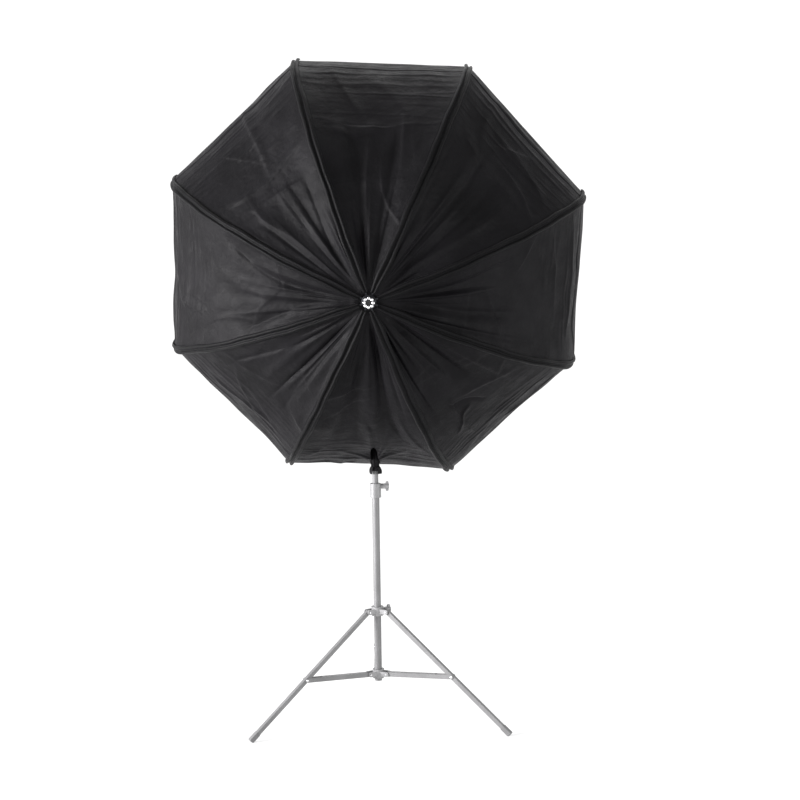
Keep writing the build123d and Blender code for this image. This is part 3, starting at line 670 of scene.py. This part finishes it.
for k in range(RIB_COUNT):
    hem = webbing_piece(f"hem_{k + 1}", k, rim_grid, HEM_T)
    if k == 0:
        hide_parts("hem_band")
for k in range(RIB_COUNT):
    webbing_piece(f"front_binding_{k + 1}", k, front_grid, BINDING_T)

# ---- rib sleeves: two piped ridges with a channel between them
SLEEVE_PROFILE = [(-0.0088, -0.0006), (-0.0086, 0.0010), (-0.0076, 0.0026), (-0.0060, 0.0038),
                  (-0.0044, 0.0040), (-0.0030, 0.0031), (-0.0020, 0.0015), (-0.0010, 0.0006),
                  (0.0, 0.0004), (0.0010, 0.0006), (0.0020, 0.0015), (0.0030, 0.0031),
                  (0.0044, 0.0040), (0.0060, 0.0038), (0.0076, 0.0026), (0.0086, 0.0010),
                  (0.0088, -0.0006), (0.0, -0.0010)]      # (sideways, up), about the rib
SLEEVE_START, SLEEVE_PAST, SLEEVE_STEPS = 0.012, 0.016, 210
TIP_PROFILE = [(0.0036, 0.0), (0.0050, 0.0006), (0.0056, 0.003), (0.0056, 0.006), (0.0051, 0.0075),
               (0.0051, 0.0085), (0.0057, 0.010), (0.0058, 0.015), (0.0054, 0.021), (0.0042, 0.0265),
               (0.0024, 0.0300), (0.0006, 0.0315)]


def rib_frame(k, s):
    """Centre, forward, outward and sideways directions of rib k at distance s from its hinge."""
    radius, depth, tangent = (float(v) for v in rib_curve(s))
    spoke = SPOKES[k]
    at = CROWN + spoke * radius + AXIS * depth
    way = spoke * math.cos(tangent) + AXIS * math.sin(tangent)
    out = spoke * math.sin(tangent) - AXIS * math.cos(tangent)
    return at, way, out, TANGENTS[k]


for k in range(RIB_COUNT):
    rng = np.random.default_rng(SEED + 300 + k)
    rings = []
    phase = rng.uniform(0, 6, 4)
    lift = SHELL_GAP + SHELL_T * 0.4
    for i in range(SLEEVE_STEPS):
        share = i / (SLEEVE_STEPS - 1)
        s = SLEEVE_START + share * (SHELL_END - SLEEVE_START + SLEEVE_PAST)
        at, way, out, side = rib_frame(k, s)
        size = 1.30 + 0.12 * math.sin(s * 31 + phase[0]) * math.sin(s * 13 + phase[1])
        pull = 0.0009 * math.sin(s * 27 + phase[2]) + 0.0005 * math.sin(s * 71 + phase[3])
        end = max(0.0, (s - SHELL_END - 0.004) / 0.0122)
        taper = min(1.0, 0.62 + share * 6) * math.sqrt(max(0.02, 1 - end ** 2))
        rings.append([at + out * (lift + y * size * taper) + side * (x * size * taper + pull)
                      for x, y in SLEEVE_PROFILE])
    sleeve = tubes(f"rib_sleeve_{k + 1}", [rings], PIPING)
    with_rib(sleeve, k)
    # pointed cap on the bare end of the rib
    at, way, out, side = rib_frame(k, RIB_LENGTH)
    cap = tubes(f"rib_tip_{k + 1}", [turned(at - way * 0.012, way, TIP_PROFILE, 32)], MOULDED)
    with_rib(cap, k)

# ---- the translucent front, in narrow wedges
WEDGE_ROWS, WEDGE_COLUMNS = 90, 22
WEDGE_MIDDLE = WEDGE_COLUMNS // 2


def diffuser_point(gore, w, share):
    """Points of the front cloth at share of the way from its centre to the rim."""
    mid, across = gore_axes(gore)
    r = RIM_EDGE - 0.0012
    inside = RIM_BOW * (1 - w ** 2)
    edge = r * (mid + w[..., None] * across) - (inside + HEM_T / 2)[..., None] * unit(mid)
    bay = 1 - share ** 2
    angle = (gore + (w + 1) / 2) * 2 * math.pi / RIB_COUNT
    ripple = 0.0016 * np.sin(3 * angle + 5 * share) * bay * share
    near_rim = smoothstep(0.55, 1.0, share) * (1 - smoothstep(0.97, 1.0, share))
    pull = 0.0022 * near_rim * np.cos(angle * RIB_COUNT * 2) * np.abs(w) ** 2
    z = DIFFUSER_DEPTH - DIFFUSER_SAG * bay * smoothstep(0.0, 0.12, share) + ripple + pull
    return np.array(CROWN) + share[..., None] * edge + z[..., None] * np.array(AXIS)


for gore in range(RIB_COUNT):
    for wedge in range(WEDGES):
        w0, w1 = -1 + 2 * wedge / WEDGES, -1 + 2 * (wedge + 1) / WEDGES
        w = np.repeat(np.linspace(w0, w1, WEDGE_COLUMNS)[None, :], WEDGE_ROWS, axis=0)
        share = np.repeat(np.linspace(0.0004, 1.0, WEDGE_ROWS)[:, None], WEDGE_COLUMNS, axis=1)
        points = diffuser_point(gore, w, share)
        step = 0.004
        along = diffuser_point(gore, w, share + step) - diffuser_point(gore, w, share - step)
        beside = diffuser_point(gore, w + step, share) - diffuser_point(gore, w - step, share)
        n = unit(np.cross(along, beside))
        n = np.where((n @ np.array(AXIS))[..., None] < 0, -n, n)
        piece = thick_sheet(f"diffuser_{gore + 1}_{wedge + 1}", [(points, n)], DIFFUSER_T,
                            [WHITE_CLOTH, WHITE_CLOTH])
        if gore == 0 and wedge == 0:
            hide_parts("diffuser")
        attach(piece, "shaft")
        reach = Vector(points[-1, WEDGE_MIDDLE]) - CROWN
        reach -= AXIS * reach.dot(AXIS)
        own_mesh(piece)

# ---- gathered sock of the same nylon, where the mast goes in through the slot
SOCK_Z = 0.686
SOCK_PROFILE = [
    (0.0128, 0.0000), (0.0152, 0.0006), (0.0150, 0.0030), (0.0128, 0.0090), (0.0108, 0.0120),
    (0.0104, 0.0140), (0.0110, 0.0165), (0.0128, 0.0210), (0.0138, 0.0290), (0.0134, 0.0390),
    (0.0122, 0.0480), (0.0110, 0.0560), (0.0105, 0.0620), (0.0102, 0.0680), (0.0097, 0.0690),
    (0.0092, 0.0670), (0.0091, 0.0400), (0.0090, 0.0140), (0.0092, 0.0080), (0.0106, 0.0012)]
TAB_TOP, TAB_LENGTH, TAB_T = 0.6968, 0.0190, 0.0016
TAB_ROWS, TAB_COLUMNS = 14, 8


def pleats(a, radius):
    return 1 + 0.075 * math.sin(9 * a) + 0.035 * math.sin(16 * a + 1.3 + radius * 260)


sock = tubes("mast_sock", [turned((0, 0, SOCK_Z), (0, 0, 1), SOCK_PROFILE, 96, pleats)], BLACK_NYLON)
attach(sock, "upper_tube")
for number, turn in enumerate((-0.75, 0.85), 1):
    # webbing tab under the sock
    t, c = np.meshgrid(np.linspace(0, 1, TAB_ROWS), np.linspace(-1, 1, TAB_COLUMNS), indexing="ij")
    around = turn - math.pi / 2 + c * 0.38 + 0.10 * t * t * np.sign(turn)
    reach = 0.0142 + 0.0035 * np.sin(t * 2.6) + 0.0016 * t * c
    points = np.stack([reach * np.cos(around), reach * np.sin(around), TAB_TOP - TAB_LENGTH * t], -1)
    normal = unit(np.stack([np.cos(around), np.sin(around), 0.25 * t], -1))
    tab = thick_sheet(f"sock_tab_{number}", [(points, normal)], TAB_T, [WEBBING, WEBBING])
    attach(tab, "upper_tube")

# ---- crown: bright rivets round the dark cap
RIVET_PROFILE = [(0.0043, -0.003), (0.0043, 0.0), (0.0041, 0.0012), (0.0034, 0.0024), (0.0022, 0.0033),
                 (0.0010, 0.0037)]
RIVET_RING_R, CAP_FACE = 0.0112, 0.0145
heads = []
for i in range(RIB_COUNT):
    a = 2 * math.pi * (i + 0.5) / RIB_COUNT
    spoke = SPOKES[0] * math.cos(a) + TANGENTS[0] * math.sin(a)
    heads.append(turned(CROWN - AXIS * CAP_FACE + spoke * RIVET_RING_R, -AXIS, RIVET_PROFILE, 24))
rivets = tubes("crown_rivets", heads, BRIGHT)
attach(rivets, "shaft")

# ---- domed rivets through braces and legs
DOME_PROFILE = [(0.0026, -0.002), (0.0042, 0.0), (0.0042, 0.0006), (0.0036, 0.0016), (0.0024, 0.0024),
                (0.0009, 0.0028)]
DOME_OUT = 0.0074           # from the middle of the rivet to the foot of its dome
for number in (1, 2, 3):
    low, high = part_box(f"leg_rivet_{number}")
    middle = (low + high) / 2
    way = Vector((middle.y, -middle.x, 0)).normalized()
    for letter, sign in (("a", 1), ("b", -1)):
        rings = turned(middle + way * sign * DOME_OUT, way * sign, DOME_PROFILE, 32)
        dome = tubes(f"brace_rivet_{number}_{letter}", [rings], BRIGHT)
        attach(dome, f"leg_{number}")

# ---- room, light and camera
FLOOR_HALF, BEND_Y, BEND_R, WALL_TOP = 30.0, 3.4, 2.2, 8.0
bend = [(BEND_Y + BEND_R * math.sin(a), BEND_R - BEND_R * math.cos(a))
        for a in np.linspace(0.1, math.pi / 2, 14)]
profile = [(-FLOOR_HALF, 0.0), (BEND_Y, 0.0)] + bend + [(BEND_Y + BEND_R, WALL_TOP)]
floor_verts = [(x, y, z) for y, z in profile for x in (-FLOOR_HALF, FLOOR_HALF)]
floor_faces = [[2 * i, 2 * i + 1, 2 * i + 3, 2 * i + 2] for i in range(len(profile) - 1)]
paper, tree, bsdf = shader("studio_paper", (0.34, 0.34, 0.338), 0.9, 0.0, Specular_IOR_Level=0.1,
                          Emission_Color=(1, 1, 1, 1), Emission_Strength=0.64)
tint(tree, bsdf, noise(tree, coords_of(tree), 1.5, 3.0), (0.335, 0.335, 0.333), (0.345, 0.345, 0.343))
sweep = new_object("studio_sweep", floor_verts, floor_faces, [paper])

world = bpy.data.worlds.new("studio")
bpy.context.scene.world = world
world.use_nodes = True
background = world.node_tree.nodes["Background"]
background.inputs["Color"].default_value = (1.0, 1.0, 1.0, 1)
background.inputs["Strength"].default_value = 0.74


def area_light(name, place, target, size, power, colour=(1, 1, 1), height=None):
    light = bpy.data.lights.new(name, "AREA")
    light.energy, light.color, light.size = power, colour, size
    if height:
        light.shape, light.size_y = "RECTANGLE", height
    obj = bpy.data.objects.new(name, light)
    obj.location = place
    obj.rotation_euler = (Vector(target) - Vector(place)).to_track_quat("-Z", "Y").to_euler()
    bpy.context.scene.collection.objects.link(obj)


area_light("key", (-3.6, -1.5, 1.25), (0, -0.1, 1.2), 1.6, 410, (1.0, 0.985, 1.0), 1.5)
area_light("right_fill", (3.8, -2.4, 0.9), (0.2, -0.1, 1.1), 1.4, 80)
area_light("top", (0.0, 1.2, 4.4), (0, 0.4, 0.4), 3.0, 60)

AZIMUTH, PITCH, CANT = 1.9, 5.245, -0.8         # degrees
DISTANCE, HEIGHT, ASIDE = 4.0, 1.245, 0.070
a = math.radians(AZIMUTH)
ahead, right = Vector((-math.sin(a), math.cos(a), 0)), Vector((math.cos(a), math.sin(a), 0))
p = math.radians(PITCH)
look = ahead * math.cos(p) - Vector((0, 0, math.sin(p)))
camera = bpy.data.cameras.new("camera")
camera.lens, camera.sensor_width, camera.clip_end = 66.67, 36.0, 60.0
camera_obj = bpy.data.objects.new("camera", camera)
camera_obj.location = -ahead * DISTANCE + right * ASIDE + Vector((0, 0, HEIGHT))
turn = look.to_track_quat("-Z", "Y").to_matrix() @ Matrix.Rotation(math.radians(CANT), 3, "Z")
camera_obj.rotation_euler = turn.to_euler()
bpy.context.scene.collection.objects.link(camera_obj)
bpy.context.scene.camera = camera_obj
bpy.context.scene.view_settings.view_transform = "Standard"
